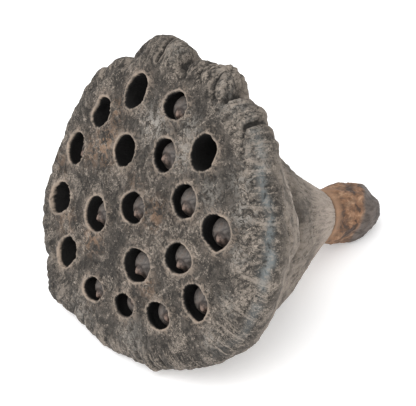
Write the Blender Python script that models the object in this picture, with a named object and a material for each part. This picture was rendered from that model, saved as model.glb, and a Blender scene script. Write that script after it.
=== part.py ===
"""Dried lotus pod lying on its side: the receptacle with its nineteen seed chambers, the cut stem and the
thirteen seeds that are still in their chambers.

Everything is shaped in the pod's own frame first: the pod's axis is local Z and points out of the seed face,
which is at Z = 0, so a depth behind the face is a negative Z. Local Y is up the face. The frame is then laid
down so that the rim and the end of the stem touch the surface at world Z = 0. Lengths are in millimetres
until they reach a vertex or a location.
"""

import math

import bmesh
import bpy
from mathutils import Matrix, Vector

MM = 0.001

# Driving dimensions
RIM_RADIUS = 44.0  # mean radius at the widest part of the rim
FACE_RADIUS = 38.0  # where the face starts to roll over into the rim
FACE_DOME = 2.5  # how far the middle of the face stands above its edge
POD_DEPTH = 64.5  # from the face's edge back to the collar at the stem
COLLAR_RADIUS = 7.8
SOCKET_RADIUS = 7.1
SOCKET_DEPTH = 5.0  # how far the stem's root sits inside the collar
STEM_END = 93.6  # depth of the cut end of the stem
GAP = 0.3  # clearance between pieces that touch
SHOULDER_FULLNESS = 3.0
SHOULDER_SWELL = 1.8  # the swollen shoulder over the chambers on the right
SHOULDER_RECESS = 3.0  # how far the cone draws in behind it
RIM_HOLLOW = 2.4  # the hollow behind the rim's upper right
PRESSED = 0.5  # how much the resting points are pressed flat
REST_ROLL = -1.0  # degrees that the pod is rolled about its own axis where it lies

SKIN_SEGMENTS = 64
CHAMBER_SEGMENTS = 12
SEED_SEGMENTS = 12
STEM_SEGMENTS = 20

# Rim outline: (angle round the axis in degrees, radius). The lobes stand between 70 and 150 degrees.
RIM_OUTLINE = [
    (0, 46.6), (15, 45.0), (28, 43.3), (38, 42.3), (51, 43.4), (58, 43.7), (68, 40.7), (76, 43.6),
    (87, 41.7), (96, 39.9), (104, 44.0), (113, 45.6), (121, 44.8), (129, 42.5), (138, 44.6), (150, 45.4), (165, 44.6),
    (180, 44.8), (195, 46.8), (206, 48.6), (215, 48.4), (223, 48.8), (231, 50.4), (238, 48.8), (246, 44.8),
    (254, 43.2), (263, 42.5), (274, 41.5), (285, 40.9), (293, 42.2), (302, 41.8), (315, 43.2), (330, 45.6),
    (345, 47.0),
]

# Skin from the edge of the face round the rim and back to the collar: (depth behind the face, radius).
SKIN_PROFILE = [
    (0.0, FACE_RADIUS), (1.6, 41.6), (5.0, 43.9), (9.0, 42.9), (13.0, 40.2), (17.5, 36.6), (22.0, 32.8),
    (27.0, 29.0), (33.0, 25.2), (40.0, 21.2), (47.0, 17.2), (54.0, 13.6), (60.0, 10.4), (POD_DEPTH, COLLAR_RADIUS),
]

# Seed chambers: (name, x, y, long radius, short radius, angle of the long radius in degrees).
CHAMBERS = {
    "a": (-15.5, 27.0, 4.9, 3.8, 72),
    "b": (-26.5, 16.5, 4.2, 3.5, 70),
    "c": (0.5, 29.0, 4.3, 3.3, 17),
    "d": (-32.5, 3.5, 4.3, 4.0, 100),
    "e": (-12.0, 11.5, 4.2, 4.0, 60),
    "f": (3.0, 16.5, 4.2, 3.8, 130),
    "g": (15.5, 22.5, 4.6, 4.2, 78),
    "h": (-33.0, -11.5, 5.0, 4.2, 45),
    "i": (-15.5, -8.5, 4.7, 4.4, 150),
    "j": (-2.0, -0.5, 4.5, 4.0, 10),
    "k": (15.0, 9.0, 4.3, 4.0, 150),
    "l": (28.0, 6.5, 4.7, 4.1, 172),
    "m": (-23.5, -23.5, 4.8, 3.9, 55),
    "n": (5.5, -13.5, 5.0, 4.3, 15),
    "o": (19.0, -5.0, 4.6, 3.8, 19),
    "p": (-9.0, -27.5, 4.2, 3.0, 22),
    "q": (4.5, -25.5, 3.8, 2.9, 18),
    "r": (17.5, -22.0, 4.3, 3.3, 8),
    "s": (28.5, -12.5, 4.7, 3.7, 150),
}
OUTER_CHAMBERS = "abcdhmpqrslg"
CHAMBER_BULGES = {"p": 2.0, "q": 2.6, "r": 2.0}  # the low ones swell the most

# A chamber is an oval mouth over a wider, round hollow: (depth below the skin, share of the hollow's radius).
CHAMBER_PROFILE = [
    (-2.5, 0.0), (-2.5, 1.0), (1.2, 1.0), (3.5, 1.0), (6.5, 1.0), (11.0, 1.0), (14.5, 0.86), (16.6, 0.5), (17.3, 0.0),
]
HOLLOW_RADIUS = 4.9
EMPTY_HOLLOWS = {"a": 4.3, "b": 3.8, "e": 4.5, "g": 4.3, "h": 4.6, "m": 4.3}  # narrower where no seed is left
MOUTH_DEPTH = 1.2  # the oval of the mouth fades into the round hollow from here
HOLLOW_DEPTH = 6.0  # to here
CHAMBER_FOCUS = 150.0  # the chambers lean towards a point this deep on the axis

# Seeds: chamber, depth of the tip below the skin, lean of the tip (x, y) in degrees.
SEEDS = {
    "seed_01": ("c", 1.9, 2, -4),
    "seed_02": ("d", 3.0, 4, 3),
    "seed_03": ("f", 1.6, -2, 4),
    "seed_04": ("i", 2.2, -4, 3),
    "seed_05": ("j", 2.3, -3, -2),
    "seed_06": ("k", 1.5, -3, -3),
    "seed_07": ("l", 2.0, -2, -4),
    "seed_08": ("n", 1.8, -4, -3),
    "seed_09": ("o", 1.7, -2, -4),
    "seed_10": ("p", 2.2, 3, -2),
    "seed_11": ("q", 3.0, 2, 3),
    "seed_12": ("r", 2.5, 2, 2),
    "seed_13": ("s", 2.3, 3, -3),
}

# A seed is a nut with a short blunt tip: (distance below the tip, radius).
SEED_PROFILE = [
    (0.0, 0.0), (0.3, 0.8), (1.1, 1.6), (2.3, 2.9), (4.2, 3.9), (6.8, 4.35), (9.6, 3.9), (11.6, 2.4), (12.4, 0.0),
]

# The stem from its root in the collar to the worn cut end: (depth, radius).
STEM_PROFILE = [
    (POD_DEPTH - SOCKET_DEPTH + GAP, 0.0), (POD_DEPTH - SOCKET_DEPTH + GAP, SOCKET_RADIUS - 0.4),
    (POD_DEPTH + 0.6, SOCKET_RADIUS - 0.3), (POD_DEPTH + 1.8, 7.6), (70.0, 8.1), (75.0, 8.3), (80.0, 8.7),
    (84.5, 7.6), (88.0, 5.6), (90.8, 3.6), (92.8, 1.6), (STEM_END, 0.0),
]

# How far the middle of each section wanders from the straight axis: (depth, x, y).
AXIS_DRIFT = [
    (8.0, 0.0, 0.0), (22.0, 0.2, -2.2), (36.0, 0.3, -3.8), (48.0, 0.3, -3.8), (58.0, 0.3, -2.4), (66.0, 0.1, -0.8),
    (80.0, -1.5, 0.2), (94.0, -2.8, 0.5),
]

SKIN_COLOUR = (0.105, 0.092, 0.078)
STEM_COLOUR = (0.30, 0.16, 0.075)
SEED_COLOUR = (0.085, 0.070, 0.062)


def clear_scene():
    for item in list(bpy.data.objects):
        bpy.data.objects.remove(item)


def new_collection(name):
    collection = bpy.data.collections.new(name)
    bpy.context.scene.collection.children.link(collection)
    return collection


def matt_material(name, colour, roughness):
    material = bpy.data.materials.new(name)
    material.use_nodes = True
    shader = material.node_tree.nodes["Principled BSDF"]
    shader.inputs["Base Color"].default_value = (*colour, 1.0)
    shader.inputs["Roughness"].default_value = roughness
    shader.inputs["Metallic"].default_value = 0.0
    material.diffuse_color = (*colour, 1.0)
    return material


def smooth_step(value, low, high):
    share = min(1.0, max(0.0, (value - low) / (high - low)))
    return share * share * (3.0 - 2.0 * share)


def catmull_rom(before, start, end, after, share):
    """A point between start and end on the smooth curve through all four."""
    square, cube = share * share, share * share * share
    return 0.5 * (
        2.0 * start
        + (end - before) * share
        + (2.0 * before - 5.0 * start + 4.0 * end - after) * square
        + (3.0 * start - before - 3.0 * end + after) * cube
    )


def rim_radius(angle):
    """Radius of the rim outline at an angle in degrees, smooth through the outline's points."""
    count = len(RIM_OUTLINE)
    angle %= 360.0
    index = max(i for i in range(count) if RIM_OUTLINE[i][0] <= angle)
    low = RIM_OUTLINE[index][0]
    high = RIM_OUTLINE[(index + 1) % count][0] or 360.0
    radii = [RIM_OUTLINE[(index + step) % count][1] for step in (-1, 0, 1, 2)]
    return catmull_rom(*radii, (angle - low) / (high - low))


def smooth_path(points, steps):
    """The points with steps - 1 more between each pair, on a smooth curve through them."""
    padded = [points[0], *points, points[-1]]
    path = []
    for index in range(1, len(padded) - 2):
        for step in range(steps):
            four = padded[index - 1 : index + 3]
            path.append(tuple(catmull_rom(*(p[axis] for p in four), step / steps) for axis in (0, 1)))
    path.append(points[-1])
    return path


def face_depth(radius):
    """Depth of the domed face at a distance from the axis, negative where it stands above the face's edge."""
    return -FACE_DOME * max(0.0, 1.0 - (radius / FACE_RADIUS) ** 2)


def skin_stations():
    """(depth, radius) of every ring of the receptacle, from the middle of the face to that of the socket."""
    face = [(face_depth(radius), radius) for radius in (0.0, 7.0, 14.0, 21.0, 28.0, 33.5)]
    skin = smooth_path(SKIN_PROFILE, 2)
    socket_floor = POD_DEPTH - SOCKET_DEPTH
    lip = [
        (POD_DEPTH + 0.5, COLLAR_RADIUS - 0.4),
        (POD_DEPTH, SOCKET_RADIUS),
        (socket_floor, SOCKET_RADIUS),
        (socket_floor, 0.0),
    ]
    return face + skin + lip


def axis_point(depth):
    """The middle of the section at a depth, in millimetres."""
    points = [(AXIS_DRIFT[0][0] - 8.0, 0.0, 0.0), *AXIS_DRIFT, (AXIS_DRIFT[-1][0] + 8.0, *AXIS_DRIFT[-1][1:])]
    if depth <= AXIS_DRIFT[0][0]:
        return 0.0, 0.0
    index = max(i for i in range(1, len(points) - 2) if points[i][0] <= depth)
    share = (depth - points[index][0]) / (points[index + 1][0] - points[index][0])
    return tuple(catmull_rom(*(p[axis] for p in points[index - 1 : index + 3]), share) for axis in (1, 2))


def chamber_bulge(angle, depth):
    """Swelling of the side over each outer seed chamber, in millimetres."""
    along = smooth_step(depth, 6.0, 12.0) * (1.0 - smooth_step(depth, 18.0, 30.0))
    if along == 0.0:
        return 0.0
    swelling = 0.0
    for name in OUTER_CHAMBERS:
        x, y = CHAMBERS[name][:2]
        off = (angle - math.degrees(math.atan2(y, x)) + 180.0) % 360.0 - 180.0
        swelling += CHAMBER_BULGES.get(name, 1.4) * math.exp(-((off / 9.0) ** 2))
    return along * (swelling - 0.7)


def bell(angle, middle, width):
    """A smooth hump round the axis, 1 at its middle, for angles in degrees."""
    off = (angle - middle + 180.0) % 360.0 - 180.0
    return math.exp(-((off / width) ** 2))


def shoulder_fullness(angle, depth):
    """Fullness low down on the cone's right, a hollow behind the rim, and the swollen shoulder, in millimetres."""
    along = smooth_step(depth, 12.0, 26.0) * (1.0 - smooth_step(depth, 40.0, 60.0))
    behind_rim = smooth_step(depth, 7.0, 13.0) * (1.0 - smooth_step(depth, 24.0, 36.0))
    shoulder = smooth_step(depth, 11.0, 19.0) * (1.0 - smooth_step(depth, 25.5, 28.5))
    recess = math.exp(-(((depth - 31.5) / 4.0) ** 2))
    return (
        SHOULDER_FULLNESS * along * bell(angle, 315.0, 35.0)
        - RIM_HOLLOW * behind_rim * bell(angle, 68.0, 24.0)
        + SHOULDER_SWELL * shoulder * bell(angle, 24.0, 17.0)
        - SHOULDER_RECESS * recess * bell(angle, 26.0, 26.0)
    )


def skin_point(depth, radius, angle):
    """A point of the receptacle's skin in the pod's frame, in millimetres."""
    degrees = math.degrees(angle)
    outline = rim_radius(degrees) / RIM_RADIUS - 1.0
    share = 1.0 - smooth_step(depth, 8.0, 52.0)
    reach = radius * (1.0 + outline * share) + chamber_bulge(degrees, depth) + shoulder_fullness(degrees, depth)
    middle_x, middle_y = axis_point(depth)
    return Vector((middle_x + reach * math.cos(angle), middle_y + reach * math.sin(angle), -depth))


def turned_mesh(name, stations, segments, place):
    """A closed mesh of rings round Z, from a sphere whose rings are moved to (depth, radius) stations.

    The first and last stations are the poles. place(depth, radius, angle) gives each point in millimetres.
    """
    shape = bmesh.new()
    rings = len(stations) - 1
    bmesh.ops.create_uvsphere(shape, u_segments=segments, v_segments=rings, radius=1.0)
    for vertex in shape.verts:
        ring = round(math.acos(max(-1.0, min(1.0, vertex.co.z))) / math.pi * rings)
        angle = math.atan2(vertex.co.y, vertex.co.x)
        vertex.co = place(*stations[ring], angle) * MM
    mesh = bpy.data.meshes.new(name)
    shape.to_mesh(mesh)
    shape.free()
    return mesh


def round_point(depth, radius, angle):
    """A point of a plain turned shape."""
    return Vector((radius * math.cos(angle), radius * math.sin(angle), -depth))


def add_object(name, mesh, collection, material, parent):
    mesh.shade_smooth()
    mesh.set_sharp_from_angle(angle=math.radians(50))
    item = bpy.data.objects.new(name, mesh)
    collection.objects.link(item)
    item.parent = parent
    if material:
        mesh.materials.append(material)
    return item


def chamber_frame(name):
    """Where a chamber's mouth is, and the turn that points local Z out of it, in the pod's frame."""
    x, y = CHAMBERS[name][:2]
    mouth = Vector((x, y, -face_depth(math.hypot(x, y))))
    outward = (mouth - Vector((0.0, 0.0, -CHAMBER_FOCUS))).normalized()
    return mouth, Vector((0.0, 0.0, 1.0)).rotation_difference(outward).to_matrix().to_4x4()


def chamber_point(name):
    """The function that gives a point of a chamber, in the chamber's own frame."""
    long_radius, short_radius, turn = CHAMBERS[name][2:]
    hollow = EMPTY_HOLLOWS.get(name, HOLLOW_RADIUS)

    def point(depth, share, angle):
        along = angle - math.radians(turn)
        oval = 1.0 / math.hypot(math.cos(along) / long_radius, math.sin(along) / short_radius)
        fade = smooth_step(depth, MOUTH_DEPTH, HOLLOW_DEPTH)
        return round_point(depth, share * (oval * (1.0 - fade) + hollow * fade), angle)

    return point


def make_chamber_cutter(name, collection, parent):
    mesh = turned_mesh("chamber_" + name, CHAMBER_PROFILE, CHAMBER_SEGMENTS, chamber_point(name))
    cutter = add_object("chamber_" + name, mesh, collection, None, parent)
    mouth, turn = chamber_frame(name)
    cutter.matrix_local = Matrix.Translation(mouth * MM) @ turn
    cutter.hide_render = True
    cutter.display_type = "WIRE"
    return cutter


def make_receptacle(collection, cutters, material, parent):
    mesh = turned_mesh("receptacle", skin_stations(), SKIN_SEGMENTS, skin_point)
    receptacle = add_object("receptacle", mesh, collection, material, parent)
    for name in CHAMBERS:
        cut = receptacle.modifiers.new("chamber_" + name, "BOOLEAN")
        cut.operation = "DIFFERENCE"
        cut.object = make_chamber_cutter(name, cutters, parent)
    return receptacle


def stem_point(depth, radius, angle):
    """A point of the knobbly stem. Its root is a plain round plug inside the collar."""
    knobs = 0.35 * math.sin(3.0 * angle + 0.16 * depth) + 0.25 * math.sin(5.0 * angle - 0.31 * depth)
    share = smooth_step(depth, POD_DEPTH + 0.6, POD_DEPTH + 5.0) * min(1.0, radius / 5.0)
    reach = radius + knobs * share
    middle_x, middle_y = axis_point(depth)
    return Vector((middle_x + reach * math.cos(angle), middle_y + reach * math.sin(angle), -depth))


def make_stem(collection, material, parent):
    root = STEM_PROFILE[:3]
    shaft = smooth_path(STEM_PROFILE[3:], 2)
    mesh = turned_mesh("stem", root + shaft, STEM_SEGMENTS, stem_point)
    return add_object("stem", mesh, collection, material, parent)


def make_seed(name, collection, material, parent):
    """A seed in its chamber, leaning a little about its middle."""
    chamber, top, lean_x, lean_y = SEEDS[name]
    mesh = turned_mesh(name, SEED_PROFILE, SEED_SEGMENTS, round_point)
    seed = add_object(name, mesh, collection, material, parent)
    mouth, turn = chamber_frame(chamber)
    middle = SEED_PROFILE[-1][0] / 2.0
    lean = Matrix.Rotation(math.radians(lean_x), 4, "Y") @ Matrix.Rotation(math.radians(-lean_y), 4, "X")
    centre = Matrix.Translation(Vector((0.0, 0.0, -top - middle)) * MM)
    raise_up = Matrix.Translation(Vector((0.0, 0.0, middle)) * MM)
    seed.matrix_local = Matrix.Translation(mouth * MM) @ turn @ centre @ lean @ raise_up
    return seed


def lowest(points, up):
    return min(points, key=lambda point: point.dot(up))


def lay_down(frame, receptacle, stem):
    """Turns the pod's frame so that the rim and the stem's end rest on the surface, and centres its box."""
    roll = Matrix.Rotation(math.radians(REST_ROLL), 4, "Z")
    rim = [roll @ vertex.co for vertex in receptacle.data.vertices]
    tail = [roll @ vertex.co for vertex in stem.data.vertices]
    tilt = math.radians(20.0)
    for _ in range(8):
        up = Vector((0.0, math.cos(tilt), math.sin(tilt)))
        front, back = lowest(rim, up), lowest(tail, up)
        tilt = math.atan2(back.y - front.y, front.z - back.z)
    up = Vector((0.0, math.cos(tilt), math.sin(tilt)))
    drop = lowest(rim, up).dot(up) + PRESSED * MM
    lay = Matrix.Rotation(math.pi / 2.0 - tilt, 4, "X")
    placed = [lay @ point for point in rim + tail]
    middle_x = (min(p.x for p in placed) + max(p.x for p in placed)) / 2.0
    middle_y = (min(p.y for p in placed) + max(p.y for p in placed)) / 2.0
    frame.matrix_world = Matrix.Translation((-middle_x, -middle_y, -drop)) @ lay @ roll
    place = [round(value, 6) for value in frame.matrix_world.translation]
    print("pod frame: tilt", round(math.degrees(tilt), 4), "origin", place)


def press_flat(item, table):
    """Presses the resting points of a piece flat against the surface."""
    cut = item.modifiers.new("resting_flat", "BOOLEAN")
    cut.operation = "DIFFERENCE"
    cut.object = table


def make_table(cutters):
    """A block whose top is the surface that the pod lies on."""
    shape = bmesh.new()
    bmesh.ops.create_cube(shape, size=1.0)
    mesh = bpy.data.meshes.new("table")
    shape.to_mesh(mesh)
    shape.free()
    table = add_object("table", mesh, cutters, None, None)
    thickness = 0.02
    table.matrix_world = Matrix.Translation((0.0, 0.0, -thickness / 2.0)) @ Matrix.Diagonal((0.3, 0.3, thickness, 1.0))
    table.hide_render = True
    table.display_type = "WIRE"
    return table


def main():
    clear_scene()
    pod = new_collection("dried_lotus_pod")
    cutters = new_collection("cutters")
    skin = matt_material("pod_skin", SKIN_COLOUR, 0.85)
    bark = matt_material("stem_bark", STEM_COLOUR, 0.8)
    shell = matt_material("seed_shell", SEED_COLOUR, 0.7)
    frame = bpy.data.objects.new("pod_frame", None)
    pod.objects.link(frame)
    receptacle = make_receptacle(pod, cutters, skin, frame)
    stem = make_stem(pod, bark, frame)
    for name in SEEDS:
        make_seed(name, pod, shell, frame)
    lay_down(frame, receptacle, stem)
    table = make_table(cutters)
    press_flat(receptacle, table)
    press_flat(stem, table)


main()
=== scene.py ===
import math

import bpy
import numpy as np
from mathutils import Matrix, Vector


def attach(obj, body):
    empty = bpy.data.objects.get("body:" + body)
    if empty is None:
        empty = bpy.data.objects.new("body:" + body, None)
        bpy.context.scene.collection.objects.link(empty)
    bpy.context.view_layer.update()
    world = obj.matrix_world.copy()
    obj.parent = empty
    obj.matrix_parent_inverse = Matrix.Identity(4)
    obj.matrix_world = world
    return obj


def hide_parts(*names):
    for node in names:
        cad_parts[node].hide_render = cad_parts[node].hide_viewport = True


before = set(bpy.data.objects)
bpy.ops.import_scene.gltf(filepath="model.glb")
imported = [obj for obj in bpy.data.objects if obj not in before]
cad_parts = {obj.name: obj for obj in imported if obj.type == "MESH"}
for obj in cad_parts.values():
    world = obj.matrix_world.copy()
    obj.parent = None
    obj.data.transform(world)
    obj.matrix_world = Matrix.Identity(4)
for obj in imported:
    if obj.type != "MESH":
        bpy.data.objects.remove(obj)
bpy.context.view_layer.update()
print("frame loaded,", len(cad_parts), "nodes")

mm = 0.001

# The pod's own frame: z points out of the seed face, y up the face, in millimetres.
podPlace = {
    "tilt": 24.4105,  # degrees that the seed face leans back
    "roll": -1.0,
    "origin": (-0.534, -35.17, 41.096),  # middle of the face's edge, where it lies
}
podMatrix = (
    Matrix.Translation(Vector(podPlace["origin"]) * mm)
    @ Matrix.Rotation(math.radians(90 - podPlace["tilt"]), 4, "X")
    @ Matrix.Rotation(math.radians(podPlace["roll"]), 4, "Z")
)



def deselectAll():
    for item in list(bpy.context.selected_objects):
        item.select_set(False)


def makeActive(piece):
    deselectAll()
    bpy.context.view_layer.objects.active = piece
    piece.select_set(True)


def readPoints(piece):
    points = np.empty(len(piece.data.vertices) * 3)
    piece.data.vertices.foreach_get("co", points)
    return points.reshape(-1, 3)


def writePoints(piece, points):
    piece.data.vertices.foreach_set("co", np.ascontiguousarray(points, dtype=np.float32).ravel())
    piece.data.update()


def readNormals(piece):
    normals = np.empty(len(piece.data.vertices) * 3)
    piece.data.vertex_normals.foreach_get("vector", normals)
    return normals.reshape(-1, 3)


def smoothStep(value, low, high):
    share = np.clip((value - low) / (high - low), 0, 1)
    return share * share * (3 - 2 * share)


def bell(value, middle, width):
    return np.exp(-(((value - middle) / width) ** 2))


def window(value, rise, fade):
    # 0 before the rise, 1 between the two stretches and 0 after the fade
    return smoothStep(value, *rise) * (1 - smoothStep(value, *fade))


def turnFrom(angle, middle):
    return (angle - middle + 180) % 360 - 180  # degrees between two directions


def curveThrough(knots, at, period=None):
    # smooth curve through (where, value) knots, read at every point of an array
    where = np.array([knot[0] for knot in knots], float)
    values = np.array([knot[1] for knot in knots], float)
    if period:
        at = np.mod(at, period)
        where = np.concatenate([[where[-1] - period], where, where[:2] + period])
        values = np.concatenate([[values[-1]], values, values[:2]])
    else:
        at = np.clip(at, where[0], where[-1])
        where = np.concatenate([[2 * where[0] - where[1]], where, [2 * where[-1] - where[-2]]])
        values = np.concatenate([[values[0]], values, [values[-1]]])
    index = np.clip(np.searchsorted(where, at, side="right") - 1, 1, len(where) - 3)
    share = (at - where[index]) / (where[index + 1] - where[index])
    a, b, c, d = (values[index + step] for step in (-1, 0, 1, 2))
    second, third = 2 * a - 5 * b + 4 * c - d, 3 * b - a - 3 * c + d
    return 0.5 * (2 * b + (c - a) * share + second * share**2 + third * share**3)


def softNoise(points, seed):
    # smooth bumps, about -1 to 1, one unit across
    picker = np.random.default_rng(seed)
    shuffle = picker.permutation(256)
    slopes = picker.normal(size=(256, 3))
    slopes /= np.linalg.norm(slopes, axis=1)[:, None]
    cell = np.floor(points).astype(int)
    part = points - cell
    fade = part**3 * (part * (part * 6 - 15) + 10)
    total = np.zeros(len(points))
    for dx in (0, 1):
        for dy in (0, 1):
            for dz in (0, 1):
                pick = shuffle[(cell[:, 0] + dx) & 255]
                pick = shuffle[(pick + cell[:, 1] + dy) & 255]
                pick = shuffle[(pick + cell[:, 2] + dz) & 255]
                lean = ((part - (dx, dy, dz)) * slopes[pick]).sum(1)
                share = (fade[:, 0] if dx else 1 - fade[:, 0]) * (fade[:, 1] if dy else 1 - fade[:, 1])
                total += lean * share * (fade[:, 2] if dz else 1 - fade[:, 2])
    return total * 1.7


def roughNoise(points, size, layers, seed):
    total, strength, weights = 0, 1.0, 0
    for layer in range(layers):
        total = total + strength * softNoise(points / size * 2**layer + 11.3 * layer, seed + layer)
        weights += strength
        strength *= 0.55
    return total / weights * 1.25


def foldNoise(points, size, layers, seed):
    # narrow furrows: 0 on the crests, towards -1 along the furrows
    total, strength, weights = 0, 1.0, 0
    for layer in range(layers):
        crest = np.minimum(1, np.abs(softNoise(points / size * 2**layer, seed + layer)) * 2.6)
        total = total - strength * (1 - crest)
        weights += strength
        strength *= 0.5
    return total / weights


def setAttribute(piece, name, values):
    slot = piece.data.attributes.get(name) or piece.data.attributes.new(name, "FLOAT", "POINT")
    slot.data.foreach_set("value", np.ascontiguousarray(values, dtype=np.float32))


def setVectorAttribute(piece, name, values):
    slot = piece.data.attributes.get(name) or piece.data.attributes.new(name, "FLOAT_VECTOR", "POINT")
    slot.data.foreach_set("vector", np.ascontiguousarray(values, dtype=np.float32).ravel())


def spreadOverEdges(piece, values, rounds):
    # each point takes the mean of itself and its neighbours, several times
    edges = np.empty(len(piece.data.edges) * 2, int)
    piece.data.edges.foreach_get("vertices", edges)
    first, second = edges[0::2], edges[1::2]
    count = np.bincount(edges, minlength=len(values)).astype(float)
    shape = (slice(None),) + (None,) * (values.ndim - 1)
    for turn in range(rounds):
        total = np.zeros_like(values)
        np.add.at(total, first, values[second])
        np.add.at(total, second, values[first])
        values = 0.5 * values + 0.5 * total / np.maximum(count, 1)[shape]
    return values


def hollowness(piece, rounds):
    # above 0 in furrows and below 0 on crests, in millimetres
    points = readPoints(piece)
    spread = spreadOverEdges(piece, points, rounds)
    return ((spread - points) * readNormals(piece)).sum(1)


def applyModifiers(piece):
    makeActive(piece)
    for name in [modifier.name for modifier in piece.modifiers]:
        bpy.ops.object.modifier_apply(modifier=name)


def layInPlace(piece):
    # from the pod's frame in millimetres to where the pod lies, in metres
    piece.data.transform(podMatrix @ Matrix.Scale(mm, 4))
    points = readPoints(piece)
    points[:, 2] = np.maximum(points[:, 2], 0)  # nothing sinks into what the pod lies on
    writePoints(piece, points)


receptacle = {
    "faceRadius": 38.0,
    "faceDome": 2.5,
    "rimRadius": 44.0,
    "podDepth": 64.5,
    "socketRadius": 7.1,
    "socketDepth": 5.0,
    "rings": 150,
    "segments": 288,
    "mostTriangles": 194000,
    "voxel": 0.46,  # size of the facets that the skin is shaped with
    "quickVoxel": 0.7,
    # the rim's outline: (degrees round the axis, radius)
    "rimOutline": [
        (0, 46.6), (15, 45.0), (28, 43.3), (38, 42.3), (46, 42.8), (51, 43.4), (55, 42.6), (58.5, 43.7),
        (62, 42.7), (65, 41.8), (68.5, 40.7), (72, 42.0), (76.5, 43.6), (81, 42.8), (87, 41.7), (92, 41.0),
        (96, 39.9), (99.5, 42.3), (104, 44.0), (113, 45.6), (121, 44.8), (129.5, 42.5), (138, 44.6),
        (150, 45.4), (165, 44.6), (180, 44.8), (195, 46.8), (206, 48.6), (215, 48.4), (223, 48.8),
        (231, 50.4), (238, 48.8), (246, 44.8), (254, 43.2), (263, 42.5), (274, 41.5), (285, 40.9),
        (293, 42.2), (302, 41.8), (315, 43.2), (330, 45.6), (345, 47.0),
    ],
    # from the middle of the face round the rim and back to the stem: (depth, radius)
    "skinProfile": [
        (-2.5, 0), (-2.41, 7), (-2.16, 14), (-1.74, 21), (-1.14, 28), (-0.56, 33.5), (0, 38), (1.6, 41.6),
        (5, 43.9), (9, 42.9), (13, 40.2), (17.5, 36.6), (22, 32.8), (27, 29), (33, 25.2), (40, 21.2),
        (47, 17.2), (54, 13.6), (60, 10.4), (64.5, 7.8),
    ],
    # how far the axis wanders, at depths behind the face
    "axisDriftX": [
        (0, 0), (8, 0), (22, 0.2), (36, 0.3), (48, 0.3), (58, 0.3), (66, 0.1), (80, -1.5), (94, -2.8),
    ],
    "axisDriftY": [
        (0, 0), (8, 0), (22, -2.2), (36, -3.8), (48, -3.8), (58, -2.4), (66, -0.8), (80, 0.2), (94, 0.5),
    ],
    # deep radial creases over the rim: degrees, then in mm the width, the depth, how far in from the rim
    # and how far back
    "creases": [
        (129.5, 0.9, 1.2, 4, 9), (97, 1.1, 1.5, 3, 9), (68.5, 0.8, 1.3, 2.5, 8), (62.5, 0.6, 0.7, 2, 6),
        (54.5, 0.7, 0.9, 2.5, 6), (144, 0.8, 0.7, 6, 10), (152, 0.6, 0.5, 4, 9), (161, 0.6, 0.5, 3, 8),
        (176, 0.7, 0.5, 3, 8), (191, 0.7, 0.5, 3, 8), (206, 0.8, 0.7, 4, 8), (221, 0.9, 1.1, 5, 9),
        (229, 0.6, 0.7, 4, 6), (239, 0.8, 0.9, 4, 8), (246, 0.6, 0.8, 5, 8), (253, 0.6, 0.7, 4, 7),
        (261, 0.7, 0.6, 5, 8), (269, 0.6, 0.8, 4, 8), (275, 0.6, 0.6, 5, 8), (282, 0.6, 0.8, 4, 8),
        (289, 0.8, 1.0, 5, 10), (296, 0.6, 0.7, 5, 7), (302, 0.6, 0.6, 4, 8), (310, 0.6, 0.6, 5, 8),
        (317, 0.6, 0.5, 4, 8), (330, 0.8, 0.4, 3, 8),
    ],
    # folds drawn over the skin: points (x, y), width and height in mm, above 0 for a crest
    "folds": [
        ([(-14.6, 43.5), (-13.2, 41.0), (-12.2, 38.9), (-12.4, 36.5)], 0.5, -1.1),
        ([(9.2, 41.6), (9.0, 39.5), (10.2, 37.2), (11.2, 35.4)], 0.7, -1.0),
        ([(8.0, 42.6), (10.8, 40.6), (12.4, 37.8), (13.6, 35.2)], 0.7, 0.8),
        ([(13.2, 40.6), (14.0, 38.6), (15.3, 37.0)], 0.6, -0.9),
        ([(14.6, 36.5), (16.5, 35.8), (18.6, 36.2)], 0.6, 0.5),
        ([(-4.2, 41.5), (-3.6, 38.6), (-1.6, 36.2)], 0.8, -0.9),
        ([(1.4, 42.0), (2.6, 39.2), (5.2, 37.2)], 0.6, -0.5),
        ([(-34.5, 28.0), (-32.5, 25.4), (-33.5, 22.0), (-37.0, 18.0)], 1.5, -0.7),
        ([(-21.0, 37.5), (-22.5, 34.0), (-27.0, 30.5), (-31.0, 26.8)], 1.4, -0.6),
        ([(24.2, 35.0), (23.2, 32.8), (24.5, 30.6)], 0.6, -0.7),
        ([(28.8, 31.0), (27.2, 28.8), (28.6, 26.4), (31.5, 26.0)], 0.7, 0.7),
        ([(31.8, 29.5), (33.5, 26.5), (34.5, 23.5), (36.2, 20.5)], 0.8, -0.7),
        ([(37.0, 23.5), (39.2, 18.5), (41.6, 13.0), (43.2, 7.0), (44.0, 1.5), (43.6, -4.5), (42.6, -10.0)],
         0.7, -0.6),
    ],
}

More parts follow.
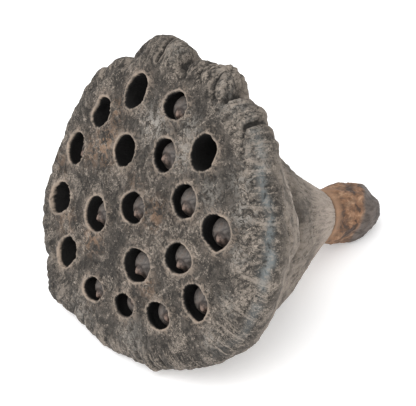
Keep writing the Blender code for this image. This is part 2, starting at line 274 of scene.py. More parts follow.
# Mouths of the seed chambers: x, y, long radius, short radius, degrees of the long radius,
# then dents in the outline as (degrees, width in degrees, depth in mm); a negative depth is a point.
mouths = {
    "a": (-15.5, 27.0, 4.9, 3.8, 72, [(250, 30, -0.3)]),
    "b": (-26.5, 16.5, 4.2, 3.5, 70, [(165, 28, 0.7), (120, 20, -0.3)]),
    "c": (0.5, 29.0, 4.3, 3.3, 17, [(24, 26, 0.5), (100, 22, -0.3)]),
    "d": (-32.5, 3.5, 4.3, 4.0, 100, [(44, 14, 0.8), (30, 16, -0.3), (150, 20, 0.3)]),
    "e": (-12.0, 11.5, 4.2, 4.0, 60, [(10, 20, 0.2)]),
    "f": (3.0, 16.5, 4.2, 3.8, 130, [(24, 22, 0.3), (80, 16, -0.3)]),
    "g": (15.5, 22.5, 4.6, 4.2, 78, [(10, 34, 0.5), (73, 9, 0.5)]),
    "h": (-33.0, -11.5, 5.0, 4.2, 45, [(172, 16, -0.5), (140, 16, 0.3)]),
    "i": (-15.5, -8.5, 4.7, 4.4, 150, [(120, 20, -0.2)]),
    "j": (-2.0, -0.5, 4.5, 4.0, 10, [(80, 20, 0.2)]),
    "k": (15.0, 9.0, 4.3, 4.0, 150, [(60, 18, 0.3)]),
    "l": (28.0, 6.5, 4.7, 4.1, 172, [(295, 16, -0.4), (250, 18, 0.3)]),
    "m": (-23.5, -23.5, 4.8, 3.9, 55, [(73, 9, 0.5)]),
    "n": (5.5, -13.5, 5.0, 4.3, 15, [(110, 22, 0.2)]),
    "o": (19.0, -5.0, 4.6, 3.8, 19, [(60, 18, 0.3)]),
    "p": (-9.0, -27.5, 4.2, 3.0, 22, [(200, 20, -0.3)]),
    "q": (4.5, -25.5, 3.8, 2.9, 18, [(204, 22, 0.4)]),
    "r": (17.5, -22.0, 4.3, 3.3, 8, [(204, 22, 0.4)]),
    "s": (28.5, -12.5, 4.7, 3.7, 150, [(295, 16, -0.5), (250, 16, 0.2)]),
}
chamberWidth = 4.9  # radius of a chamber that holds a seed
emptyWidths = {"a": 4.3, "b": 3.8, "e": 4.5, "g": 4.3, "h": 4.6, "m": 4.3}  # the empty ones are narrower
outerMouths = "abcdhmpqrslg"

# The cone's swells and hollows: depths it rises over, depths it fades over, the direction and its
# width in degrees, and the height in mm.
coneForms = {
    "lowFullness": ((12, 26), (40, 60), 315, 35, 3.0),
    "behindRim": ((7, 13), (24, 36), 68, 24, -2.4),
    "shoulder": ((11, 19), (25.6, 27.8), 24, 17, 1.8),
    "dip": ((8, 14), (25, 33), 0, 10, -1.8),
}
coneRecess = {"depth": 31.5, "reach": 4, "angle": 26, "width": 26, "height": -3.0}
chamberBulges = {
    "rise": (6, 12),
    "fade": (18, 30),
    "width": 9,  # degrees
    "height": 1.4,
    "tall": {"p": 2.0, "q": 2.6, "r": 2.0},  # the low ones swell the most
    "between": -0.7,  # the skin sinks between them
}


def faceDepth(radius):
    return -receptacle["faceDome"] * np.maximum(0, 1 - (radius / receptacle["faceRadius"]) ** 2)


def coneForm(name, angle, depth):
    rise, fade, middle, width, height = coneForms[name]
    return height * (window(depth, rise, fade) * bell(turnFrom(angle, middle), 0, width))


def sideBulge(angle, depth):
    swelling = chamberBulges["between"]
    for name in outerMouths:
        x, y = mouths[name][:2]
        height = chamberBulges["tall"].get(name, chamberBulges["height"])
        off = turnFrom(angle, math.degrees(math.atan2(y, x)))
        swelling = swelling + height * bell(off, 0, chamberBulges["width"])
    bulge = window(depth, chamberBulges["rise"], chamberBulges["fade"]) * swelling
    for name in ("lowFullness", "behindRim", "shoulder"):
        bulge = bulge + coneForm(name, angle, depth)
    recess = bell(depth, coneRecess["depth"], coneRecess["reach"])
    recess = recess * bell(turnFrom(angle, coneRecess["angle"]), 0, coneRecess["width"])
    return bulge + coneRecess["height"] * recess + coneForm("dip", angle, depth)


def skinPoints(depth, radius, angle):
    # the smooth skin at depths behind the face's edge, radii and angles in degrees
    outline = curveThrough(receptacle["rimOutline"], angle, 360) / receptacle["rimRadius"] - 1
    reach = radius * (1 + outline * (1 - smoothStep(depth, 8, 52))) + sideBulge(angle, depth)
    x = curveThrough(receptacle["axisDriftX"], depth) + reach * np.cos(np.radians(angle))
    y = curveThrough(receptacle["axisDriftY"], depth) + reach * np.sin(np.radians(angle))
    return np.stack([x, y, -depth], axis=1)


def shapeSkin(piece):
    depths, radii = zip(*receptacle["skinProfile"])
    knots = list(enumerate(zip(depths, radii)))
    fine = np.linspace(0, len(knots) - 1, 1200)
    depth = curveThrough([(k, v[0]) for k, v in knots], fine)
    radius = curveThrough([(k, v[1]) for k, v in knots], fine)
    length = np.concatenate([[0], np.cumsum(np.hypot(np.diff(depth), np.diff(radius)))])
    rings = receptacle["rings"]
    inner = 18  # rings kept for the lip of the collar and the socket
    places = np.linspace(0, length[-1], rings - inner + 1)
    ringDepth, ringRadius = np.interp(places, length, depth), np.interp(places, length, radius)
    deep, socket = receptacle["podDepth"], receptacle["socketRadius"]
    lip = [(deep + 0.45, socket + 0.45), (deep + 0.45, socket + 0.1), (deep, socket)]
    walls = [(deep - receptacle["socketDepth"] * step / 7, socket) for step in range(1, 8)]
    floor = [(deep - receptacle["socketDepth"], socket * (1 - step / 8)) for step in range(1, 9)]
    ringDepth = np.concatenate([ringDepth, [p[0] for p in lip + walls + floor]])
    ringRadius = np.concatenate([ringRadius, [p[1] for p in lip + walls + floor]])
    points = readPoints(piece)
    ring = np.rint(np.arccos(np.clip(points[:, 2], -1, 1)) / math.pi * rings).astype(int)
    angle = np.degrees(np.arctan2(points[:, 1], points[:, 0]))
    writePoints(piece, skinPoints(ringDepth[ring], ringRadius[ring], angle))



def mouthRadius(name, angle):
    # distance from the mouth's middle to its edge, at angles in degrees
    longRadius, shortRadius, turn, dents = mouths[name][2:]
    along = np.radians(angle - turn)
    edge = 1 / np.hypot(np.cos(along) / longRadius, np.sin(along) / shortRadius)
    lag = 57.0 * (ord(name) - 96)
    uneven = 0.016 * np.sin(np.radians(3 * angle + lag)) + 0.014 * np.sin(np.radians(5 * angle - 2 * lag))
    edge = edge * (1 + uneven)
    for middle, width, depth in dents:
        edge = edge - depth * bell(turnFrom(angle, middle), 0, width)
    return edge


def chamberAxes(name):
    # the mouth's middle and the turn that points z out of it
    x, y = mouths[name][:2]
    middle = Vector((x, y, -float(faceDepth(math.hypot(x, y)))))
    outward = (middle + Vector((0, 0, 150))).normalized()
    return middle, Vector((0, 0, 1)).rotation_difference(outward).to_matrix()


def inChamber(name, points):
    middle, turn = chamberAxes(name)
    return (points - np.array(middle)) @ np.array(turn)


def chamberReach(name, edge, depth):
    # the wall's distance from the axis, from the mouth's outline to the round chamber
    fade = smoothStep(depth, 0.35, 3.2)
    return edge * (1 - fade) + emptyWidths.get(name, chamberWidth) * fade


def makeChamberCutter(name):
    deselectAll()
    bpy.ops.mesh.primitive_uv_sphere_add(segments=72, ring_count=24, radius=1)
    cutter = bpy.context.object
    points = readPoints(cutter)
    ring = np.rint(np.arccos(np.clip(points[:, 2], -1, 1)) / math.pi * 24).astype(int)
    stations = [
        (-3.0, 0), (-3.0, 0.5), (-3.0, 1), (-1.5, 1), (-0.6, 1), (0, 1), (0.5, 1), (0.9, 1), (1.4, 1), (2, 1),
        (2.6, 1), (3.3, 1), (4.1, 1), (5, 1), (6, 1), (8, 1), (10, 1), (12, 1), (13.5, 0.93), (14.8, 0.83),
        (15.8, 0.68), (16.6, 0.48), (17.1, 0.25), (17.3, 0.1), (17.3, 0),
    ]  # (depth below the skin, share of the chamber's radius)
    depth = np.array([s[0] for s in stations])[ring]
    share = np.array([s[1] for s in stations])[ring]
    angle = np.degrees(np.arctan2(points[:, 1], points[:, 0]))
    reach = share * chamberReach(name, mouthRadius(name, angle), depth)
    middle, turn = chamberAxes(name)
    local = np.stack([reach * np.cos(np.radians(angle)), reach * np.sin(np.radians(angle)), -depth], axis=1)
    writePoints(cutter, local @ np.array(turn).T + np.array(middle))
    return cutter



lips = {"height": 0.26, "swell": 0.14}  # the mouths' edges stand a little proud of the face


def mouthSurround(points):
    # how the points lie to the mouths: the distance outside the nearest edge, the depth inside a chamber
    # (which sets the painted shade inside the chambers), 1 on the chambers' walls, and how the lips push the
    # skin out
    nearest = np.full(len(points), 99.0)
    pitShade = np.zeros(len(points))
    wall = np.zeros(len(points))
    push = np.zeros((len(points), 3))
    for name in mouths:
        local = inChamber(name, points)
        away = np.hypot(local[:, 0], local[:, 1])
        angle = np.degrees(np.arctan2(local[:, 1], local[:, 0]))
        edge = mouthRadius(name, angle)
        gap = away - edge
        near = (away < 12) & (local[:, 2] > -19)
        inside = near & (away < chamberReach(name, edge, -local[:, 2]) + 0.25) & (local[:, 2] < -0.12)
        pitShade[inside] = np.maximum(pitShade[inside], -local[inside, 2])
        wall[inside] = 1
        surface = near & ~inside & (local[:, 2] > -2.5)
        nearest[surface] = np.minimum(nearest[surface], gap[surface])
        lip = lips["height"] * bell(gap, 0.3, 0.4) + lips["swell"] * bell(np.maximum(gap, 0), 0, 1.5)
        uneven = 0.75 + 0.35 * np.sin(np.radians(2.0 * angle + 40 * (ord(name) - 96)))
        outward = np.array(chamberAxes(name)[1])[:, 2]
        push[surface] += (lip * uneven)[surface, None] * outward
    return nearest, pitShade, wall, push


def creaseLift(points, angle, depth, reach, along, bare):
    outline = curveThrough(receptacle["rimOutline"], angle, 360)
    inward = outline - reach  # how far in from the rim's outline, on the face
    lift = np.zeros(len(points))
    for middle, width, deep, inwardReach, backReach in receptacle["creases"]:
        line = np.stack([along / 6, np.full(len(points), middle), np.zeros(len(points))], axis=1)
        wander = 0.5 * softNoise(line, 5)
        off = (np.radians(turnFrom(angle, middle)) * np.maximum(reach, 20) + wander) / width
        reachIn = 1 - smoothStep(inward, inwardReach * 0.5, inwardReach * 1.6)
        reachBack = 1 - smoothStep(depth, backReach * 0.6, backReach * 1.8)
        lift -= deep * np.exp(-np.abs(off) ** 1.5) * reachIn * reachBack * bare
    for line, width, height in receptacle["folds"]:
        lift += height * bell(lineDistance(points, line), 0, width) * bare * smoothStep(-depth, -14, -9)
    return lift


def wrinkleSkin(piece):
    points, normals = readPoints(piece), readNormals(piece)
    x, y, depth = points[:, 0], points[:, 1], -points[:, 2]
    angle, reach = np.degrees(np.arctan2(y, x)), np.hypot(x, y)
    nearest, pitShade, wall, lipPush = mouthSurround(points)

    bare = 1 - wall
    face = smoothStep(normals[:, 2], 0.35, 0.8) * smoothStep(-depth, -6, -1.5) * bare
    rim = bell(depth, 3.5, 5) * smoothStep(reach, 33, 38)
    side = smoothStep(depth, 5, 9) * bare
    collar = smoothStep(depth, 50, 60)

    # directions that follow the skin: round the axis and along it
    along = np.where(depth < 4, 44 - reach + depth, depth * 1.15)
    around = np.radians(angle)
    wrap = np.stack([np.cos(around) * 44, np.sin(around) * 44, along * 0.4], axis=1)

    lift = creaseLift(points, angle, depth, reach, along, bare)
    # puckers over the rim, stronger along its low side
    low = turnFrom(angle, 275)
    lift += (0.25 + 0.2 * bell(low, 0, 70)) * roughNoise(wrap, 5.2, 3, 21) * rim * bare
    lift += (0.25 + 0.75 * bell(low, 0, 50)) * (0.55 * foldNoise(wrap, 3.0, 2, 33) + 0.2) * rim * bare
    lift += 0.32 * roughNoise(points, 3.0, 4, 37) * smoothStep(reach, 31, 38) * bare * (1 - 0.5 * side)
    # long folds and fibres down the side
    longFolds = 0.45 * roughNoise(wrap * (1, 1, 0.7), 7.5, 3, 41)
    fibres = 0.22 * foldNoise(wrap * (1, 1, 0.5), 3.2, 2, 52)
    lift += (longFolds + fibres + 0.1) * side * (1 - collar)
    lift += 0.30 * roughNoise(points, 3.6, 4, 55) * side * (1 - collar)
    lift += 0.18 * roughNoise(wrap * (1, 1, 0.5), 2.4, 2, 47) * collar
    # low swells and dimples of the face
    calm = smoothStep(nearest, 0.6, 3.0)
    lift += (0.34 * roughNoise(points, 9, 2, 61) + 0.17 * roughNoise(points, 2.4, 3, 64)) * face * calm
    lift += 0.16 * foldNoise(points, 2.4, 2, 68) * face * calm
    # crumpled strip between the outer mouths and the right of the rim
    crumple = bell(turnFrom(angle, 20), 0, 40) * smoothStep(reach, 34, 38) * smoothStep(5 - depth, 0, 2.5)
    lift += (0.5 * foldNoise(points, 3.2, 3, 71) + 0.25) * crumple * calm * bare
    # crumpled lobes at the top right of the rim
    lobes = bell(turnFrom(angle, 76), 0, 36) * smoothStep(reach, 34, 38) * (1 - smoothStep(depth, 7, 13))
    lumps = 0.45 * roughNoise(points, 4.2, 3, 131) + 0.45 * foldNoise(points, 3.0, 2, 135) + 0.2
    lift += lumps * lobes * calm * bare
    # fine tooth everywhere
    lift += 0.085 * roughNoise(points, 1.2, 2, 81) * bare
    writePoints(piece, points + normals * lift[:, None] + lipPush)

    # where each colour of the skin goes, with painted shade inside the chambers and behind the shoulder and a
    # painted highlight on the shoulder's crest
    outside = np.maximum(nearest, 0)
    shoulder = bell(turnFrom(angle, 24), 0, 26)
    marks = {
        "lip": np.exp(-((outside / 0.42) ** 2)) * bare,
        "halo": np.exp(-((outside / 2.0) ** 2)) * bare,
        # painted shade inside the chambers, darker further in
        "pitShade": smoothStep(pitShade, 0.0, 0.35),
        "side": smoothStep(depth, 4, 11) * bare,
        "collar": smoothStep(depth, 44, 60),
        "rim": bell(depth, 2.5, 4) * smoothStep(reach, 34, 39) * bare,
        "pale": patchShare(points, skinPatches["pale"]) * bare,
        "warm": patchShare(points, skinPatches["warm"]) * bare,
        "ridge": ridgeShare(points, angle, depth, reach) * bare,
        # painted highlight: a pale line along the shoulder's crest
        "crest": bell(depth, 23.0, 2.6) * shoulder,
        # painted shade on the cone just behind the shoulder
        "recess": bell(depth, 36.5, 5.5) * shoulder,
    }
    for name, values in marks.items():
        setAttribute(piece, name, values)
    setVectorAttribute(piece, "wrap", wrap * mm)
    setVectorAttribute(piece, "grain", points * mm)


# patches of the skin: x, y on the face, radius, strength
skinPatches = {
    "pale": [
        (-4, 22, 5, 0.7), (9, 19, 4, 0.6), (8, 26, 3.5, 0.5), (22, 14, 4, 0.4), (37, 4, 3, 0.5),
        (38, -8, 3, 0.4), (34, 14, 3.5, 0.7), (30, 21, 4, 0.5), (36, -19, 3, 0.4), (30, 30, 4, 0.5),
        (17, 37, 4, 0.6), (10, -33, 6, 0.35), (-12, -36, 5, 0.45), (25, 34, 3, 0.5), (11, 41, 3, 0.45),
        (33, 26, 3, 0.5), (-9, 41, 3, 0.35),
    ],
    "warm": [
        (-20, 10, 5, 0.8), (-24, 6, 4, 0.5), (-20, 19, 3, 0.5), (-14, -15, 4, 0.6), (6, 1, 4, 0.6),
        (-4, 5, 3, 0.3), (-27, -16, 4, 0.4), (12, -17, 3, 0.4), (-38, -2, 4, 0.3),
    ],
}


def patchShare(points, patches):
    share = np.zeros(len(points))
    for x, y, size, strength in patches:
        away = (points[:, 0] - x) ** 2 + (points[:, 1] - y) ** 2
        share = np.maximum(share, strength * np.exp(-away / size**2))
    return share * smoothStep(points[:, 2], -7, -2)


def ridgeShare(points, angle, depth, reach):
    # the worn band down the right of the rim, winding and broken
    wander = softNoise(points / 7.0, 121)
    broken = 0.35 + 0.65 * smoothStep(softNoise(points / 4.0, 125), -0.6, -0.1)
    band = bell(depth - 2.7 - 0.7 * wander, 0, 0.95) * broken
    return band * bell(turnFrom(angle, 17), 0, 30) * smoothStep(reach, 36, 40)


def lineDistance(points, line):
    # distance from each point to a line of straight stretches, seen along the pod's axis
    best = np.full(len(points), 99.0)
    for (ax, ay), (bx, by) in zip(line, line[1:]):
        dx, dy = bx - ax, by - ay
        share = np.clip(((points[:, 0] - ax) * dx + (points[:, 1] - ay) * dy) / (dx * dx + dy * dy), 0, 1)
        best = np.minimum(best, np.hypot(points[:, 0] - ax - share * dx, points[:, 1] - ay - share * dy))
    return best


def makeReceptacle():
    deselectAll()
    rings, segments = receptacle["rings"], receptacle["segments"]
    bpy.ops.mesh.primitive_uv_sphere_add(segments=segments, ring_count=rings, radius=1)
    piece = bpy.context.object
    piece.name = piece.data.name = "podReceptacle"
    shapeSkin(piece)
    cutters = [makeChamberCutter(name) for name in mouths]
    makeActive(cutters[0])
    for cutter in cutters[1:]:
        cutter.select_set(True)
    bpy.ops.object.join()
    cut = piece.modifiers.new("chambers", "BOOLEAN")
    cut.operation = "DIFFERENCE"
    cut.solver = "EXACT"
    cut.object = cutters[0]
    applyModifiers(piece)
    bpy.data.objects.remove(cutters[0])
    print("receptacle cut,", len(piece.data.vertices), "points")
    even = piece.modifiers.new("evenFacets", "REMESH")
    even.mode = "VOXEL"
    even.voxel_size = receptacle["voxel"]
    even.adaptivity = 0
    applyModifiers(piece)
    points = readPoints(piece)
    crisp = np.zeros(len(points))
    for name in mouths:
        local = inChamber(name, points)
        edge = mouthRadius(name, np.degrees(np.arctan2(local[:, 1], local[:, 0])))
        gap = np.hypot(local[:, 0], local[:, 1]) - edge
        crisp = np.maximum(crisp, bell(gap, 0, 0.9) * smoothStep(local[:, 2], -3, -1.5))
    eased = spreadOverEdges(piece, points, 2)
    writePoints(piece, points + (eased - points) * (1 - 0.8 * crisp)[:, None])
    print("receptacle even,", len(piece.data.vertices), "points")
    wrinkleSkin(piece)
    # hollowness sets painted shade in furrows and a painted highlight on fine crests
    broad = hollowness(piece, 14)
    fine = hollowness(piece, 3)
    setAttribute(piece, "furrowShade", np.clip(broad / 0.55, -1, 1))
    setAttribute(piece, "nickShadeAndHighlight", np.clip(fine / 0.12, -1, 1))
    triangles = 2 * len(piece.data.polygons)
    if triangles > receptacle["mostTriangles"]:
        thinner = piece.modifiers.new("fewerFacets", "DECIMATE")
        thinner.ratio = receptacle["mostTriangles"] / triangles
        applyModifiers(piece)
    layInPlace(piece)
    makeActive(piece)
    bpy.ops.object.shade_smooth()
    return piece


podBody = makeReceptacle()
print("receptacle shaped,", len(podBody.data.polygons), "faces")

seed = {
    # (distance below the top, radius)
    "profile": [
        (0, 0), (0.3, 1.35), (1.1, 2.55), (2.4, 3.65), (4.2, 4.3), (6.6, 4.5), (9.4, 4.0), (11.6, 2.4),
        (12.4, 0),
    ],
    "rings": 64,
    "segments": 72,
    "tipHeight": 0.85,
    "tipRadius": 0.95,
    "tipOffset": 1.6,  # how far the tip sits from the seed's middle, toward the low side
    "lift": 0.9,
}
# chamber, depth of the top in mm, lean in x and in y, then the turn of the tip, in degrees
seedPlaces = {
    "seed_01": ("c", 1.9, 2, -4, 300),
    "seed_02": ("d", 3.0, 4, 3, 285),
    "seed_03": ("f", 1.6, -2, 4, 270),
    "seed_04": ("i", 2.2, -4, 3, 280),
    "seed_05": ("j", 2.3, -3, -2, 300),
    "seed_06": ("k", 1.5, -3, -3, 290),
    "seed_07": ("l", 2.0, -2, -4, 300),
    "seed_08": ("n", 1.8, -4, -3, 280),
    "seed_09": ("o", 1.7, -2, -4, 280),
    "seed_10": ("p", 2.2, 3, -2, 290),
    "seed_11": ("q", 3.0, 2, 3, 60),
    "seed_12": ("r", 2.5, 2, 2, 350),
    "seed_13": ("s", 2.3, 3, -3, 320),
}


def makeSeedForm():
    # modelled once, tip up along z and leaning toward x, its top at z = 0
    deselectAll()
    bpy.ops.mesh.primitive_uv_sphere_add(segments=seed["segments"], ring_count=seed["rings"], radius=1)
    form = bpy.context.object
    form.name = form.data.name = "seedForm"
    points = readPoints(form)
    polar = np.arccos(np.clip(points[:, 2], -1, 1)) / math.pi
    depths = [(k / 8, p[0]) for k, p in enumerate(seed["profile"])]
    radii = [(k / 8, p[1]) for k, p in enumerate(seed["profile"])]
    warped = polar**1.15
    depth = curveThrough(depths, warped)
    radius = np.maximum(0, curveThrough(radii, warped))
    angle = np.arctan2(points[:, 1], points[:, 0])
    radius[polar < 1e-6] = 0
    radius[polar > 1 - 1e-6] = 0
    shaped = np.stack([radius * np.cos(angle), radius * np.sin(angle), -depth], axis=1)
    off = np.hypot(shaped[:, 0] - seed["tipOffset"], shaped[:, 1])
    top = np.where(shaped[:, 2] > -4.5, 1.0, 0.0)
    tip = np.exp(-((off / seed["tipRadius"]) ** 2.6)) * top
    ringFurrow = bell(off, 1.55, 0.45) * top
    fromCrater = np.hypot(shaped[:, 0] - seed["tipOffset"] - 0.35, shaped[:, 1] - 0.2)
    crater = np.exp(-((fromCrater / 0.38) ** 2)) * top
    crinkle = roughNoise(shaped, 1.1, 3, 95) * bell(off, 0, 2.4) * top
    shaped[:, 2] += seed["tipHeight"] * tip - 0.3 * ringFurrow - 0.7 * crater + 0.28 * crinkle
    shaped[:, 0] += 0.6 * tip**2  # the tip curls over
    distance = np.maximum(1, np.linalg.norm(shaped, axis=1))
    shaped += 0.10 * (roughNoise(shaped, 1.8, 3, 91)[:, None]) * shaped / distance[:, None]
    writePoints(form, shaped)
    setAttribute(form, "tip", bell(off, 0, 1.5) * top)
    # painted shade in the furrow round the tip and in its crater
    setAttribute(form, "tipShade", np.maximum(bell(off, 1.6, 0.4) * top, crater))
    setVectorAttribute(form, "grain", shaped * mm)
    makeActive(form)
    bpy.ops.object.shade_smooth()
    return form


def placeSeed(form, name):
    chamber, top, leanX, leanY, turn = seedPlaces[name]
    piece = form.copy()
    piece.data = form.data.copy()
    piece.name = piece.data.name = "podSeed" + name[-2:]
    bpy.context.scene.collection.objects.link(piece)
    middle, axes = chamberAxes(chamber)
    half = seed["profile"][-1][0] / 2
    lean = Matrix.Rotation(math.radians(leanX), 4, "Y") @ Matrix.Rotation(math.radians(-leanY), 4, "X")
    spin = Matrix.Rotation(math.radians(turn), 4, "Z")
    sink = Matrix.Translation((0, 0, -top + seed["lift"] - half))
    place = Matrix.Translation(middle) @ axes.to_4x4() @ sink @ lean
    piece.data.transform(place @ Matrix.Translation((0, 0, half)) @ spin)
    layInPlace(piece)
    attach(piece, "root")
    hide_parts(name)
    return piece


seedForm = makeSeedForm()
seeds = [placeSeed(seedForm, name) for name in seedPlaces]
bpy.data.objects.remove(seedForm)
print("seeds placed,", len(seeds))

stem = {
    # (depth behind the face, radius): the end of the root, then the root's side and the shaft
    "root": [(59.8, 0), (59.8, 6.7)],
    "shaft": [
        (65.1, 6.8), (66.3, 7.6), (70, 8.1), (75, 8.3), (80, 8.7), (84.5, 7.6), (88, 5.6), (90.8, 3.6),
        (92.8, 1.6), (93.6, 0),
    ],
    "rings": 150,
    "segments": 160,
    "worn": 81.5,  # depth where the dark worn end starts
}


def makeStem():
    deselectAll()
    bpy.ops.mesh.primitive_uv_sphere_add(segments=stem["segments"], ring_count=stem["rings"], radius=1)
    piece = bpy.context.object
    piece.name = piece.data.name = "podStem"
    points = readPoints(piece)
    root, shaft = stem["root"], stem["shaft"]
    fine = np.linspace(0, len(shaft) - 1, 600)
    shaftDepth = curveThrough([(k, p[0]) for k, p in enumerate(shaft)], fine)
    shaftRadius = curveThrough([(k, p[1]) for k, p in enumerate(shaft)], fine)
    depth = np.concatenate([[p[0] for p in root], shaftDepth])
    radius = np.concatenate([[p[1] for p in root], shaftRadius])
    length = np.concatenate([[0], np.cumsum(np.hypot(np.diff(depth), np.diff(radius)))])
    ring = np.arccos(np.clip(points[:, 2], -1, 1)) / math.pi
    ringDepth = np.interp(ring * length[-1], length, depth)
    ringRadius = np.interp(ring * length[-1], length, radius)
    angle = np.arctan2(points[:, 1], points[:, 0])
    ringRadius[(ring < 1e-6) | (ring > 1 - 1e-6)] = 0
    knobs = 0.35 * np.sin(3 * angle + 0.16 * ringDepth) + 0.25 * np.sin(5 * angle - 0.31 * ringDepth)
    share = smoothStep(ringDepth, 65.1, 69.5) * np.minimum(1, ringRadius / 5)
    reach = ringRadius + knobs * share
    wrap = np.stack([np.cos(angle) * 8, np.sin(angle) * 8, ringDepth * 0.5], axis=1)
    spots = np.stack([np.cos(angle) * 8, np.sin(angle) * 8, ringDepth], axis=1)
    relief = 0.6 * roughNoise(spots, 4.6, 4, 101) + 0.4 * foldNoise(wrap, 3.2, 2, 105) + 0.1
    reach = reach + relief * share
    x = curveThrough(receptacle["axisDriftX"], ringDepth) + reach * np.cos(angle)
    y = curveThrough(receptacle["axisDriftY"], ringDepth) + reach * np.sin(angle)
    writePoints(piece, np.stack([x, y, -ringDepth], axis=1))
    # the worn end starts sooner on one side
    edge = stem["worn"] + 2.5 * np.cos(angle - math.radians(113)) - 5.5 * np.cos(angle - math.radians(23))
    setAttribute(piece, "char", smoothStep(ringDepth - edge + 0.9 * roughNoise(spots, 4, 2, 111), -1.0, 1.4))
    setAttribute(piece, "start", 1 - smoothStep(ringDepth, 65.8, 68.4))
    # painted shadow line where the stem leaves the neck
    setAttribute(piece, "gap", 1 - smoothStep(ringDepth, 65.0, 65.9))
    setVectorAttribute(piece, "wrap", wrap * mm)
    setVectorAttribute(piece, "grain", np.stack([x, y, -ringDepth], axis=1) * mm)
    # hollowness of the stem, for painted shade in its furrows
    setAttribute(piece, "furrowShade", np.clip(hollowness(piece, 10) / 0.35, -1, 1))
    layInPlace(piece)
    makeActive(piece)
    bpy.ops.object.shade_smooth()
    return piece


podStem = makeStem()
print("stem shaped,", len(podStem.data.polygons), "faces")

for piece, node, finish in ((podBody, "receptacle", "pod_skin"), (podStem, "stem", "stem_bark")):
    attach(piece, "root")
    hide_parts(node)


class Finish:
    # a short hand for building one material's nodes
    def __init__(self, name):
        self.material = bpy.data.materials.new(name)
        self.material.use_nodes = True
        self.tree = self.material.node_tree
        self.shader = self.tree.nodes["Principled BSDF"]

    def node(self, kind, **values):
        made = self.tree.nodes.new(kind)
        for key, value in values.items():
            setattr(made, key, value)
        return made

    def link(self, source, target):
        self.tree.links.new(source, target)

    def put(self, value, target):
        if hasattr(value, "is_output"):
            self.link(value, target)
        else:
            target.default_value = value

    def attribute(self, name):
        return self.node("ShaderNodeAttribute", attribute_name=name).outputs["Fac"]

    def direction(self, name):
        return self.node("ShaderNodeAttribute", attribute_name=name).outputs["Vector"]

    def noise(self, vector, scale, detail=4, roughness=0.6, distortion=0.0):
        made = self.node("ShaderNodeTexNoise")
        self.link(vector, made.inputs["Vector"])
        made.inputs["Scale"].default_value = scale
        made.inputs["Detail"].default_value = detail
        made.inputs["Roughness"].default_value = roughness
        made.inputs["Distortion"].default_value = distortion
        return made.outputs["Fac"]

    def ramp(self, value, *stops):
        made = self.node("ShaderNodeValToRGB")
        self.link(value, made.inputs["Fac"])
        points = made.color_ramp.elements
        while len(points) < len(stops):
            points.new(0.5)
        for point, (place, colour) in zip(points, stops):
            point.position = place
            point.color = (*colour, 1)
        return made.outputs["Color"]

    def share(self, value, low, high, start=0.0, end=1.0):
        made = self.node("ShaderNodeMapRange", interpolation_type="SMOOTHSTEP", clamp=True)
        self.put(value, made.inputs["Value"])
        for key, number in zip(("From Min", "From Max", "To Min", "To Max"), (low, high, start, end)):
            made.inputs[key].default_value = number
        return made.outputs["Result"]

    def sum(self, operation, first, second):
        made = self.node("ShaderNodeMath", operation=operation)
        self.put(first, made.inputs[0])
        self.put(second, made.inputs[1])
        return made.outputs["Value"]

    def threads(self, noise, width):
        # thin winding lines where a noise crosses its middle
        off = self.sum("ABSOLUTE", self.sum("SUBTRACT", noise, 0.5), 0.0)
        return self.share(off, width, width * 0.25)

    def times(self, first, second):
        return self.sum("MULTIPLY", first, second)

    def blend(self, amount, under, over, mode="MIX"):
        made = self.node("ShaderNodeMix", data_type="RGBA", blend_type=mode)
        self.put(amount, made.inputs["Factor"])
        self.put(under if hasattr(under, "is_output") else (*under, 1), made.inputs["A"])
        self.put(over if hasattr(over, "is_output") else (*over, 1), made.inputs["B"])
        return made.outputs["Result"]

    def bumps(self, *layers):
        # layers of (height, strength, distance in metres), one on top of the other
        before = None
        for height, strength, distance in layers:
            bump = self.node("ShaderNodeBump")
            bump.inputs["Strength"].default_value = strength
            bump.inputs["Distance"].default_value = distance
            self.link(height, bump.inputs["Height"])
            if before is not None:
                self.link(before, bump.inputs["Normal"])
            before = bump.outputs["Normal"]
        self.link(before, self.shader.inputs["Normal"])


podSkin = {
    "dark": (0.014, 0.0122, 0.0105),
    "middle": (0.033, 0.0286, 0.0242),
    "light": (0.068, 0.0575, 0.0480),
    "fleck": (0.305, 0.258, 0.214),
    "pale": (0.36, 0.335, 0.30),
    "warm": (0.27, 0.165, 0.102),
    "lip": (0.36, 0.285, 0.225),
    "side": (0.205, 0.170, 0.138),
    "sideDark": (0.056, 0.0455, 0.0365),
    # painted highlight colour for the shoulder's crest
    "crest": (0.42, 0.36, 0.305),
    "ridge": (0.170, 0.190, 0.192),
    "collar": (0.44, 0.37, 0.315),
    # near-black painted shade for deep inside the chambers
    "pitShade": (0.0030, 0.0024, 0.0020),
}


